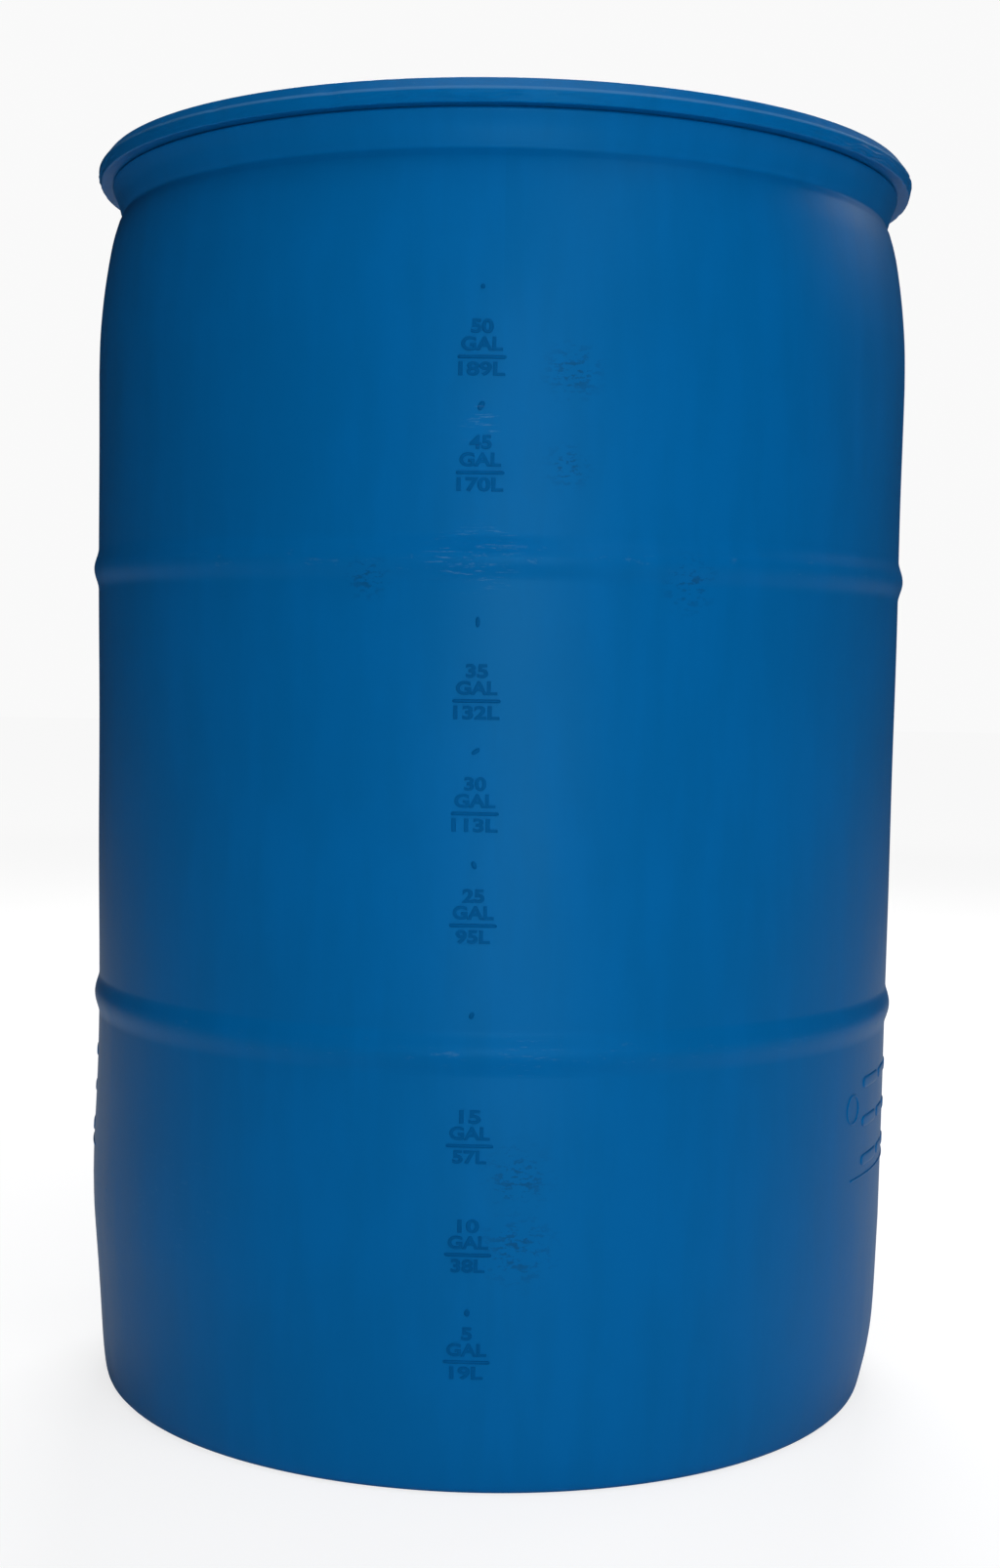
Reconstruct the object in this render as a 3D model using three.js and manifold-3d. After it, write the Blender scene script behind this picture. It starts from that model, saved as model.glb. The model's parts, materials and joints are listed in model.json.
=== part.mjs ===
// Blow-moulded plastic tight-head drum, nominal 208 litres (55 US gallons), with two screw bungs in its head.
// Millimetres, +Z up. The origin is on the drum's axis, in the plane that it stands on. The graduated side
// looks along -Y, and both bungs lie on the mould's parting plane, Y = 0.
import * as THREE from "three";
import * as BufferGeometryUtils from "three/addons/utils/BufferGeometryUtils.js";
import Module from "manifold-3d";

const wasm = await Module();
wasm.setup();

const part = new THREE.Group();
part.name = "drum";

// ---------------------------------------------------------------- helpers

// A closed geometry as a solid that can be joined and cut.
function solidOf(geometry) {
  geometry.deleteAttribute("normal");
  geometry.deleteAttribute("uv");
  const welded = BufferGeometryUtils.mergeVertices(geometry, 1e-4);
  const triangles = [];
  const index = welded.index.array;
  for (let i = 0; i < index.length; i += 3) {
    const [a, b, c] = [index[i], index[i + 1], index[i + 2]];
    if (a !== b && b !== c && c !== a) triangles.push(a, b, c);
  }
  const vertProperties = welded.attributes.position.array;
  return new wasm.Manifold(
    new wasm.Mesh({ numProp: 3, vertProperties, triVerts: new Uint32Array(triangles) }),
  );
}

// A solid of revolution about a vertical axis at x = `x`, from [r, z] points that start low on the axis, run
// up the outside and end high on the axis.
function turned(points, segments, x = 0) {
  const profile = points.map(([r, z]) => new THREE.Vector2(r, z));
  return solidOf(new THREE.LatheGeometry(profile, segments).rotateX(Math.PI / 2).translate(x, 0, 0));
}

// A plain upright disc or cylinder.
function disc(r, low, high, segments, x = 0) {
  const geometry = new THREE.CylinderGeometry(r, r, high - low, segments);
  return solidOf(geometry.rotateX(Math.PI / 2).translate(x, 0, (low + high) / 2));
}

// A block centred on the vertical axis at x = `x`, turned about it by `angle` degrees.
function block(length, width, low, high, angle, x) {
  const geometry = new THREE.BoxGeometry(length, width, high - low);
  const turn = THREE.MathUtils.degToRad(angle);
  return solidOf(geometry.rotateZ(turn).translate(x, 0, (low + high) / 2));
}

// The solid inside a right-hand screw thread. `rows` holds [fraction of the pitch, radius] pairs, which
// repeat up a helix. Column `segments` is column 0 one pitch higher, which makes the helix join itself.
function screw({ rows, pitch, low, turns, segments, x }, clearance = 0) {
  const position = [];
  const index = [];
  const count = turns * rows.length;
  const tall = count + rows.length;
  for (let column = 0; column < segments; column++) {
    const angle = (2 * Math.PI * column) / segments;
    for (let row = 0; row < tall; row++) {
      const [fraction, radius] = rows[row % rows.length];
      const r = radius + clearance;
      const rise = Math.floor(row / rows.length) + fraction + column / segments;
      position.push(x + r * Math.cos(angle), r * Math.sin(angle), low + pitch * rise);
    }
  }
  const at = (column, row) => (column === segments ? row + rows.length : column * tall + row);
  const foot = position.length / 3;
  position.push(x, 0, low - 2 * pitch);
  const top = foot + 1;
  position.push(x, 0, low + pitch * (turns + 3));
  for (let column = 0; column < segments; column++) {
    for (let row = 0; row < count - 1; row++) {
      index.push(at(column, row), at(column + 1, row), at(column + 1, row + 1));
      index.push(at(column, row), at(column + 1, row + 1), at(column, row + 1));
    }
    index.push(foot, at(column + 1, 0), at(column, 0));
    index.push(top, at(column, count - 1), at(column + 1, count - 1));
  }
  for (let row = 0; row < rows.length; row++) {
    index.push(foot, row, row + 1);
    index.push(top, count + row, count + row - 1);
  }
  const geometry = new THREE.BufferGeometry();
  geometry.setAttribute("position", new THREE.Float32BufferAttribute(position, 3));
  geometry.setIndex(index);
  return solidOf(geometry);
}

// Puts a solid into the part as one mesh with its own material.
function add(name, body, color, roughness) {
  const { vertProperties, triVerts } = body.getMesh();
  const geometry = new THREE.BufferGeometry();
  geometry.setAttribute("position", new THREE.BufferAttribute(vertProperties, 3));
  geometry.setIndex(new THREE.BufferAttribute(triVerts, 1));
  geometry.computeVertexNormals();
  const mesh = new THREE.Mesh(geometry, new THREE.MeshStandardMaterial({ color, roughness, metalness: 0 }));
  mesh.name = name;
  part.add(mesh);
}

// ---------------------------------------------------------------- drum body

// The drum is 889 mm tall and 592.5 mm across its body. Its outside runs from the concave base over the
// standing ring, round the lower corner, past two rolling hoops and in over the shoulder to a neck. The
// handling ring stands out above the neck, and the head lies inside the ring, 25 mm below its top.
const HEIGHT = 889;
const BODY_R = 296.25;
const WALL = 4;
const HOOP_HEIGHTS = [288.5, 598.5];
const HOOP_HALF = 14.5;
const HOOP_RISE = 3.2;
const HEAD = HEIGHT - 25;

const hoop = (middle, r) => [
  [r, middle - HOOP_HALF],
  [r + HOOP_RISE * 0.72, middle - HOOP_HALF / 2],
  [r + HOOP_RISE, middle],
  [r + HOOP_RISE * 0.72, middle + HOOP_HALF / 2],
  [r, middle + HOOP_HALF],
];

const outside = [
  [0, 11],
  [170, 9],
  [262, 7],
  [271, 0],
  [285, 0],
  [288.3, 1.3],
  [290.3, 5],
  [291.9, 16],
  [293.3, 34],
  [294.9, 75],
  [BODY_R, 128],
  ...HOOP_HEIGHTS.flatMap((middle) => hoop(middle, BODY_R)),
  [BODY_R, 738],
  [295.4, 767],
  [292.4, 798],
  [287.2, 828],
  [282.2, 847.5],
  [279.6, 850],
  [281.2, 853],
  [282, 860],
  [281.8, 868],
  [284, 870.6],
  [294.6, 871],
  [297, 881],
  [290.6, HEIGHT],
  [281.5, HEIGHT],
  [278.6, HEIGHT - 3],
  [276, HEAD + 6],
  [270, HEAD + 1],
  [262, HEAD],
  [158, HEAD],
  [150, HEAD - 3],
  [0, HEAD - 3],
];

const inside = [
  [0, 11 + WALL],
  [168, 9 + WALL],
  [262, 7 + WALL],
  [271, WALL + 1],
  [282, WALL + 1],
  [286.5, 8],
  [288, 18],
  [289.4, 36],
  [291, 77],
  [BODY_R - WALL, 130],
  ...HOOP_HEIGHTS.flatMap((middle) => hoop(middle, BODY_R - WALL)),
  [BODY_R - WALL, 736],
  [291.2, 766],
  [288.2, 796],
  [283, 825],
  [276, 846],
  [266, HEAD - WALL - 2],
  [260, HEAD - WALL],
  [158, HEAD - WALL],
  [150, HEAD - WALL - 3],
  [0, HEAD - WALL - 3],
];

// The bungs: fine thread on the left, coarse thread on the right. A boss raises each neck above the head.
const LEFT = -210;
const RIGHT = 210;
const NECK_TOP = HEAD + 8;
const NECK_R = 38;
const ROUND = 28;
const SMALL_ROUND = 20;

const boss = (x) =>
  turned(
    [
      [0, HEAD - 2],
      [50, HEAD - 2],
      [50, HEAD],
      [45, HEAD + 3.5],
      [43.5, NECK_TOP - 1],
      [42.5, NECK_TOP],
      [0, NECK_TOP],
    ],
    ROUND,
    x,
  );

let shell = turned(outside, 36).subtract(turned(inside, 36));
for (const x of [LEFT, RIGHT]) {
  shell = shell.add(boss(x)).subtract(disc(NECK_R, HEAD - 30, HEIGHT, ROUND, x));
}
add("drum_body", shell, 0x0f5c96, 0.5);

// ---------------------------------------------------------------- threads

// Two-inch fine thread, 11.5 to the inch; coarse buttress thread, 5 to the inch; three-quarter-inch reducer
// thread, 14 to the inch. Each male thread runs in its female one with the same radial clearance.
const INCH = 25.4;
const CLEARANCE = 0.35;
const FITTING_LOW = HEAD - 13;

const FINE = {
  rows: [
    [0, 28.3],
    [0.5, 29.7],
  ],
  pitch: INCH / 11.5,
  low: FITTING_LOW - 8,
  turns: 17,
  segments: ROUND,
  x: LEFT,
};

const COARSE = {
  rows: [
    [0, 28.6],
    [0.3, 28.6],
    [0.42, 31.2],
    [0.62, 31.2],
  ],
  pitch: INCH / 5,
  low: FITTING_LOW - 14,
  turns: 10,
  segments: ROUND,
  x: RIGHT,
};

const SMALL = {
  rows: [
    [0, 11.9],
    [0.5, 13],
  ],
  pitch: INCH / 14,
  low: FITTING_LOW - 4,
  turns: 24,
  segments: SMALL_ROUND,
  x: LEFT,
};

// ---------------------------------------------------------------- thread fittings

// Each fitting is a moulded insert: a threaded sleeve in the neck, with a holding flange under the head and
// a flat sealing face level with the boss. Its mouth opens in a chamfer that leads the plug in.
const SLEEVE_R = NECK_R - 0.3;

function fitting(thread, mouthRadius) {
  const { x } = thread;
  const sleeve = turned(
    [
      [0, FITTING_LOW],
      [36.5, FITTING_LOW],
      [SLEEVE_R, FITTING_LOW + 2],
      [SLEEVE_R, HEAD - 12.4],
      [42, HEAD - 12],
      [42, HEAD - 6],
      [SLEEVE_R, HEAD - 5.6],
      [SLEEVE_R, NECK_TOP - 0.6],
      [SLEEVE_R - 0.6, NECK_TOP],
      [0, NECK_TOP],
    ],
    ROUND,
    x,
  );
  const mouth = turned(
    [
      [0, NECK_TOP - 2.4],
      [mouthRadius - 2, NECK_TOP - 2.4],
      [mouthRadius + 0.6, NECK_TOP + 1],
      [0, NECK_TOP + 1],
    ],
    ROUND,
    x,
  );
  return sleeve.subtract(screw(thread, CLEARANCE)).subtract(mouth);
}

add("fitting_fine", fitting(FINE, 30.6), 0x11446f, 0.45);
add("fitting_coarse", fitting(COARSE, 32), 0x11446f, 0.45);

// ---------------------------------------------------------------- plugs

// A plug is a hollow cup, threaded outside, with a flange that clamps a gasket on the sealing face.
const GASKET = 1.8;
const FLANGE_LOW = NECK_TOP + GASKET + 0.1;
const FLANGE_TOP = FLANGE_LOW + 7.6;
const PLUG_LOW = HEAD - 7.5;

function cup(thread, crest) {
  const { x } = thread;
  const envelope = turned(
    [
      [0, PLUG_LOW],
      [crest - 2.2, PLUG_LOW],
      [crest + 0.4, PLUG_LOW + 2.6],
      [crest + 0.4, NECK_TOP - 3.4],
      [crest - 1.6, NECK_TOP - 2.4],
      [crest - 1.6, FLANGE_LOW + 0.4],
      [0, FLANGE_LOW + 0.4],
    ],
    ROUND,
    x,
  );
  const flange = turned(
    [
      [0, FLANGE_LOW],
      [38.4, FLANGE_LOW],
      [39, FLANGE_LOW + 0.8],
      [39, FLANGE_TOP - 2.2],
      [37, FLANGE_TOP],
      [0, FLANGE_TOP],
    ],
    ROUND,
    x,
  );
  return screw(thread).intersect(envelope).add(flange);
}

// Fine plug: a web across the cup carries a boss threaded for the reducer plug, and four ribs to turn it by.
const SEAT = FLANGE_TOP - 2.2;
let finePlug = cup(FINE, 29.7)
  .subtract(disc(24.5, PLUG_LOW - 1, HEAD + 4, ROUND, LEFT))
  .subtract(disc(32, FLANGE_TOP - 4.6, FLANGE_TOP + 1, ROUND, LEFT))
  .add(disc(18.4, PLUG_LOW + 5, SEAT, SMALL_ROUND, LEFT));
for (const angle of [45, 135]) {
  finePlug = finePlug.add(block(65, 4.2, FLANGE_TOP - 5, FLANGE_TOP - 0.6, angle, LEFT));
}
finePlug = finePlug
  .subtract(disc(17, SEAT, FLANGE_TOP + 2, SMALL_ROUND, LEFT))
  .subtract(screw(SMALL, CLEARANCE));
add("plug_fine", finePlug, 0x143f66, 0.4);

// Coarse plug: an open cup with a floor, and six wrench lugs standing on its wall.
let coarsePlug = cup(COARSE, 31.2).subtract(disc(24, PLUG_LOW + 3.5, FLANGE_TOP + 1, ROUND, RIGHT));
for (const angle of [0, 60, 120]) {
  const lugs = block(50, 5, PLUG_LOW + 3, FLANGE_TOP - 1.5, angle, RIGHT);
  coarsePlug = coarsePlug.add(lugs.subtract(disc(18.5, PLUG_LOW, HEIGHT, SMALL_ROUND, RIGHT)));
}
add("plug_coarse", coarsePlug, 0x143f66, 0.4);

// Reducer plug: three-quarter-inch, with its own flange and a square drive recess.
const REDUCER_LOW = SEAT + 1.3;
const REDUCER_TOP = REDUCER_LOW + 4.2;
const REDUCER_FOOT = SEAT - 13;
const reducerEnvelope = turned(
  [
    [0, REDUCER_FOOT],
    [11.4, REDUCER_FOOT],
    [13.2, REDUCER_FOOT + 1.6],
    [13.2, SEAT - 2.4],
    [11.7, SEAT - 1.6],
    [11.7, REDUCER_LOW + 0.4],
    [0, REDUCER_LOW + 0.4],
  ],
  SMALL_ROUND,
  LEFT,
);
const reducerFlange = turned(
  [
    [0, REDUCER_LOW],
    [16.2, REDUCER_LOW],
    [16.4, REDUCER_LOW + 0.4],
    [16.4, REDUCER_TOP - 1.2],
    [15.4, REDUCER_TOP],
    [0, REDUCER_TOP],
  ],
  SMALL_ROUND,
  LEFT,
);
const socket = block(12.6, 12.6, REDUCER_TOP - 13, REDUCER_TOP + 1, 0, LEFT);
add(
  "reducer_plug",
  screw(SMALL).intersect(reducerEnvelope).add(reducerFlange).subtract(socket),
  0x16181b,
  0.45,
);

// ---------------------------------------------------------------- gaskets

// Flat rubber washers, each seated between a flange and the face that it seals on.
function washer(inner, outer, low, high, segments, x) {
  return disc(outer, low, high, segments, x).subtract(disc(inner, low - 1, high + 1, segments, x));
}

add("gasket_fine", washer(30.9, 36.6, NECK_TOP + 0.1, FLANGE_LOW - 0.1, ROUND, LEFT), 0x1a1a1a, 0.8);
add("gasket_coarse", washer(32.6, 36.8, NECK_TOP + 0.1, FLANGE_LOW - 0.1, ROUND, RIGHT), 0x1a1a1a, 0.8);
add("gasket_reducer", washer(13.6, 16.2, SEAT + 0.1, REDUCER_LOW - 0.1, SMALL_ROUND, LEFT), 0x1a1a1a, 0.8);

export default part;
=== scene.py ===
"""A blue blow-moulded plastic drum of 208 litres, with rolling hoops, a handling ring and two screw bungs."""
import json
import math

import bpy
import numpy as np
from mathutils import Matrix, Vector
from mathutils.geometry import delaunay_2d_cdt

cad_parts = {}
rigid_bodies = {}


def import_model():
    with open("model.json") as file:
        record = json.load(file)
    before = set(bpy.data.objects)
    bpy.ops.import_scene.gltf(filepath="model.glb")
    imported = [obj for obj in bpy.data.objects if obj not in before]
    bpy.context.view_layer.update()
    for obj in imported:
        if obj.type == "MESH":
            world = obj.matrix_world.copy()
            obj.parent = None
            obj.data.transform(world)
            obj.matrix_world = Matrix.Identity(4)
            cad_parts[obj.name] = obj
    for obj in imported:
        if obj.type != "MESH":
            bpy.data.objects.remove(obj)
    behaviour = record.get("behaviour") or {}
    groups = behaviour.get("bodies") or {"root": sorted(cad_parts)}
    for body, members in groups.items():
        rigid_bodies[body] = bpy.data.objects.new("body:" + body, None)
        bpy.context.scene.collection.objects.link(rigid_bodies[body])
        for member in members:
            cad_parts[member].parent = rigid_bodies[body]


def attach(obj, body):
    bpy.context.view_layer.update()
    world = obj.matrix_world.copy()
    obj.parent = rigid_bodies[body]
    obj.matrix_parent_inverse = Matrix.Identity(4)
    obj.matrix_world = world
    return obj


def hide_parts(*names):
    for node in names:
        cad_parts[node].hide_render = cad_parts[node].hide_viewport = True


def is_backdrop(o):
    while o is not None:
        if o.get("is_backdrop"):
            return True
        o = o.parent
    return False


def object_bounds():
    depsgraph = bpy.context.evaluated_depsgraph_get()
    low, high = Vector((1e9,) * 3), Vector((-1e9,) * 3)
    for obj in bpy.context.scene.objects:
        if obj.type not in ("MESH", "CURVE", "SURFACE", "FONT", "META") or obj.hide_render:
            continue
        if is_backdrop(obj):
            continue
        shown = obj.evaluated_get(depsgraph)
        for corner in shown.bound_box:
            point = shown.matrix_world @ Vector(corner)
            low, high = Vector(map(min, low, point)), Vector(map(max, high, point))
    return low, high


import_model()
cad_low, cad_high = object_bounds()
scene = bpy.context.scene

# ---------------------------------------------------------------- drum shell
# The shell is one blow moulding in high-density polyethylene: a tube of molten plastic is blown against a
# mould in two halves, so the walls are a little uneven, the corners are soft, and a parting line runs up
# two sides. The handling ring is squeezed solid as the mould closes, which leaves a rough line of flash.
MM = 0.001
HEIGHT = round((cad_high.z - cad_low.z) / MM)
BODY_R = 296.25
WALL = 4.0
BODY_TOP = 738
RING_R = 297
RING_FLASH = 877.2
RING_LOW = 872
HEAD_DEPTH = 25
HEAD = HEIGHT - HEAD_DEPTH
HEAD_DISH = 3
HOOP_HEIGHTS = (288.5, 598.5)
HOOP_HALF = 14.5
HOOP_RISE = 3.2
PARTING_AZIMUTH = math.radians(90)


def curve_through(points, step):
    """Points about `step` apart on a smooth curve through `points`, both ends kept."""
    p = np.array([points[0], *points, points[-1]], float)
    out = []
    for a, b, c, d in zip(p, p[1:], p[2:], p[3:]):
        count = max(1, math.ceil(np.hypot(*(c - b)) / step))
        for t in np.arange(count) / count:
            bend = (2 * a - 5 * b + 4 * c - d) * t * t + (3 * b - a - 3 * c + d) * t**3
            out.append(b + 0.5 * ((c - a) * t + bend))
    return [tuple(q) for q in out] + [tuple(points[-1])]


def straight(start, end, step):
    """Points about `step` apart on the line between two points, both ends kept."""
    count = max(1, math.ceil(math.dist(start, end) / step))
    return [tuple(np.array(start) + (np.array(end) - start) * k / count) for k in range(count + 1)]


def rounded(outline, radius, closed=True):
    """The outline with each corner cut back by up to `radius` and rounded."""
    out = []
    last = len(outline) - 1
    for i, corner in enumerate(outline):
        before, after = outline[i - 1], outline[(i + 1) % len(outline)]
        on_axis = corner[0] == 0
        if on_axis or (not closed and i in (0, last)):
            out.append(corner)
            continue
        c = np.array(corner, float)
        u, v = np.array(before) - c, np.array(after) - c
        cut = min(radius, 0.45 * np.hypot(*u), 0.45 * np.hypot(*v))
        a, b = c + u / np.hypot(*u) * cut, c + v / np.hypot(*v) * cut
        for t in (0, 0.25, 0.5, 0.75, 1):
            out.append(tuple(a * (1 - t) ** 2 + 2 * c * t * (1 - t) + b * t * t))
    return out


def hoop_rise(z):
    """How far the two rolling hoops stand out at height z."""
    rise = np.zeros_like(z)
    for middle in HOOP_HEIGHTS:
        t = np.clip(np.abs(z - middle) / HOOP_HALF, 0, 1)
        rise += HOOP_RISE * (0.5 + 0.5 * np.cos(math.pi * t)) ** 0.85
    return rise


foot = curve_through(
    [(284.4, 0), (287.2, 0.9), (289.2, 3), (290.6, 7), (291.9, 16), (293.3, 34), (294.9, 75), (BODY_R, 128)],
    3.5,
)
wall_heights = np.unique(
    np.concatenate(
        [np.arange(138, BODY_TOP, 15.0)]
        + [middle + np.arange(-HOOP_HALF - 2, HOOP_HALF + 2.1, 2.0) for middle in HOOP_HEIGHTS]
    )
)
shoulder = curve_through([(BODY_R, BODY_TOP), (295.4, 767), (292.4, 798), (287.4, 828), (282.8, 844)], 6)
neck = curve_through(
    [(282.8, 844), (281, 847.4), (280, 849.4), (279.9, 850.8), (280.7, 853), (281.9, 857.5), (283, 861.5),
     (284.2, 864.8), (286.2, 869.6), (286.9, 871.6), (286.4, 872.4), (283.4, 872.6), (283.2, 873.4)],
    1.3,
)
ring_lip = rounded(
    [(283.2, 873.4), (295.3, 873.1), (RING_R, 881.3), (290.8, HEIGHT), (281.2, HEIGHT)], 1.1, closed=False
)
ring_face = []
for start, end in zip(ring_lip, ring_lip[1:]):
    on_outer_face = min(start[0], end[0]) > 294
    ring_face += straight(start, end, 0.95 if on_outer_face else 2.2)[:-1]
ring_face.append(ring_lip[-1])
ring_bore = curve_through(
    [(281.2, HEIGHT), (278.9, HEIGHT - 1.6), (277.9, HEIGHT - 5), (276, HEAD + 6), (270, HEAD + 1.2),
     (263, HEAD)],
    2.6,
)
EDGE_R = 262.0
STEP_R = 158.0


def wavering(seed, count, low, high):
    """A fixed smooth irregular function of one angle, made of whole waves so that it joins itself."""
    draw = np.random.default_rng(seed)
    waves = draw.integers(low, high, count)
    phases = draw.uniform(0, 2 * math.pi, count)
    weights = draw.uniform(0.4, 1, count)
    total = np.sqrt((weights**2).sum() / 2)
    return lambda angle: sum(w * np.sin(n * angle + p) for n, p, w in zip(waves, phases, weights)) / total


slow_wave = wavering(3, 4, 2, 6)
cross_wave = wavering(4, 5, 3, 10)
nick_wave = wavering(7, 14, 20, 100)
tear_wave = wavering(9, 16, 30, 130)
flash_wave = wavering(12, 9, 9, 75)


def unevenness(azimuth, z):
    """How far the blown wall stands proud of its true radius, in millimetres."""
    middle = np.clip(np.minimum(z - 40, 820 - z) / 90, 0, 1)
    wave = 0.28 * slow_wave(azimuth + z / 900) + 0.13 * cross_wave(azimuth - z / 260)
    belly = 4.4 * np.exp(-(((z - 150) / 66) ** 2)) * np.clip(-np.sin(azimuth), 0, 1) ** 2
    return middle * wave + belly


def tuck(azimuth, r, z):
    """How much further in the lower corner lies on the right than on the left."""
    on_right = np.clip(np.sin(azimuth), 0, 1) ** 2
    outer_part = np.clip((r - 266) / 16, 0, 1)
    return 5.5 * on_right * np.exp(-((z / 34) ** 2)) * outer_part


def parting_ridge(azimuth, z):
    """The thin raised line where the mould's halves met."""
    off = np.abs((azimuth - PARTING_AZIMUTH + math.pi / 2) % math.pi - math.pi / 2) * BODY_R
    return 0.3 * np.clip(1 - off / 0.9, 0, 1) * ((z > 20) & (z < RING_LOW - 1))


def ring_wear(azimuth, r, z):
    """Nicks, and a wandering line of squeezed flash, on the handling ring's outer face."""
    on_face = np.clip((r - 290) / 4, 0, 1) * (z > RING_LOW)
    level = RING_FLASH + 1.3 * flash_wave(azimuth)
    turned_by = (np.degrees(azimuth) + 180) % 360 - 180
    patches = sum(np.exp(-(((turned_by - middle) / 10) ** 2)) for middle in (-4, 55, 118, -79, -150))
    strength = (0.12 + patches) * np.clip(tear_wave(azimuth) + 2, 0.6, 1.5)
    flash = 0.75 * np.exp(-(((z - level) / 0.7) ** 2)) - 0.6 * np.exp(-(((z - level + 1.5) / 0.8) ** 2))
    nicks = np.clip(nick_wave(azimuth) - 1.25, 0, 1.2) * 0.8
    tears = np.clip(tear_wave(azimuth + z / 37) - 1.6, 0, 1) * 0.4
    return on_face * (strength * flash - nicks - tears)


def columns():
    """Azimuths of the shell's columns: close together at the front, and closest at the parting line."""
    side = 76
    front = np.arange(-side, side, 0.9)
    back = np.arange(side, 360 - side, 2.2)
    fine = np.array([-0.4, -0.19, -0.12, -0.06, 0, 0.06, 0.12, 0.19, 0.4])
    seams = [fine + math.degrees(PARTING_AZIMUTH) + turn for turn in (0, 180)]
    plain = np.concatenate([front, back])
    clear = [d for d in plain if all(abs(d - seam[4]) > 0.5 for seam in seams)]
    return np.radians(np.sort(np.concatenate([clear, *seams])))


AZIMUTHS = columns()
outside = (
    foot
    + [(BODY_R, z) for z in wall_heights]
    + shoulder
    + neck[1:]
    + ring_face[1:]
    + ring_bore[1:]
)
base = (
    curve_through([(0, 11), (90, 10.4), (170, 9), (256, 7.2), (263, 6), (266.6, 2), (270, 0.1), (273, 0)], 11)
    + [(279, 0)]
)
inside = (
    curve_through([(258, HEAD - WALL), (268, HEAD - WALL - 3.5), (276, 846), (283, 825), (288.2, 796),
                   (291.2, 766), (BODY_R - WALL, BODY_TOP - 2)], 14)
    + [(BODY_R - WALL, z) for z in wall_heights[::-2]]
    + curve_through([(BODY_R - WALL, 130), (291, 77), (289.4, 36), (288, 18), (286.5, 9), (282, WALL + 1),
                     (271, WALL + 1), (262, 7 + WALL), (168, 9 + WALL), (0, 11 + WALL)], 16)
)


def ring_of(r, z, moved=True):
    """One loop of the shell's points at radius r and height z, as x, y, z in millimetres."""
    r = np.full_like(AZIMUTHS, r)
    z = np.full_like(AZIMUTHS, z)
    if moved:
        wear = ring_wear(AZIMUTHS, r, z)
        r = r + hoop_rise(z) + unevenness(AZIMUTHS, z) + parting_ridge(AZIMUTHS, z) + wear
    r = r - tuck(AZIMUTHS, r, z) * (z < 400)
    return np.stack([r * np.sin(AZIMUTHS), -r * np.cos(AZIMUTHS), z], 1)


class Skin:
    """Points and faces of one mesh while it is put together, in millimetres."""

    def __init__(self):
        self.points = []
        self.faces = []

    def loop(self, points):
        first = len(self.points)
        self.points.extend(map(tuple, points))
        return list(range(first, len(self.points)))

    def bridge(self, low, high):
        for k in range(len(low)):
            n = (k + 1) % len(low)
            self.faces.append((low[k], low[n], high[n], high[k]))

    def fan(self, loop, centre, flip=False):
        tip = self.loop([centre])[0]
        for k in range(len(loop)):
            n = (k + 1) % len(loop)
            self.faces.append((loop[n], loop[k], tip) if flip else (loop[k], loop[n], tip))

    def sheet(self, loops, holes, heights, spacing, up):
        """A level sheet between loops of points already made, left open over the holes (x, y, radius)."""
        flat = []
        known = []
        edges = []
        for loop in loops:
            start = len(flat)
            for k, index in enumerate(loop):
                flat.append(Vector(self.points[index][:2]))
                known.append(index)
                edges.append((start + k, start + (k + 1) % len(loop)))
        reach = max(p.length for p in flat)
        for x in np.arange(-reach, reach, spacing):
            for y in np.arange(-reach, reach, spacing):
                spot = Vector((x + 0.31 * spacing * math.sin(y), y))
                far = spot.length < reach - spacing / 2
                clear = all(abs(spot.length - abs(r)) > spacing / 2 for r in heights)
                open_air = all((spot - Vector(h[:2])).length > h[2] + spacing / 2 for h in holes)
                if far and clear and open_air:
                    flat.append(spot)
        made, _, triangles, origin, _, _ = delaunay_2d_cdt(flat, edges, [], 0, 1e-5)
        level = self.points[loops[0][0]][2]
        index = []
        for place, source in zip(made, origin):
            old = [s for s in source if s < len(known)]
            index.append(known[old[0]] if old else self.loop([(place.x, place.y, level)])[0])
        for t in triangles:
            middle = sum((made[k] for k in t), Vector((0, 0))) / 3
            if any((middle - Vector(h[:2])).length < h[2] for h in holes):
                continue
            corners = [index[k] for k in t]
            self.faces.append(tuple(corners if up else reversed(corners)))

    def build(self, name):
        mesh = bpy.data.meshes.new(name)
        mesh.from_pydata([(x * MM, y * MM, z * MM) for x, y, z in self.points], [], self.faces)
        mesh.shade_smooth()
        mesh.validate()
        piece = bpy.data.objects.new(name, mesh)
        scene.collection.objects.link(piece)
        return piece


BUNG_X = {"fine": -210.0, "coarse": 210.0}
NECK_TOP = HEAD + 8
NECK_R = 38.0
BOSS_SIDES = 96


def circle(r, z, x, sides=BOSS_SIDES):
    turn = np.arange(sides) * 2 * math.pi / sides
    return np.stack([x + r * np.sin(turn), -r * np.cos(turn), np.full(sides, z)], 1)


shell = Skin()
rings = [shell.loop(ring_of(r, z)) for r, z in base[1:] + outside]
shell.fan(rings[0], (0, 0, base[0][1]), flip=True)
for low, high in zip(rings, rings[1:]):
    shell.bridge(low, high)
rim = shell.loop(ring_of(EDGE_R, HEAD, moved=False))
shell.bridge(rings[-1], rim)

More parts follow.
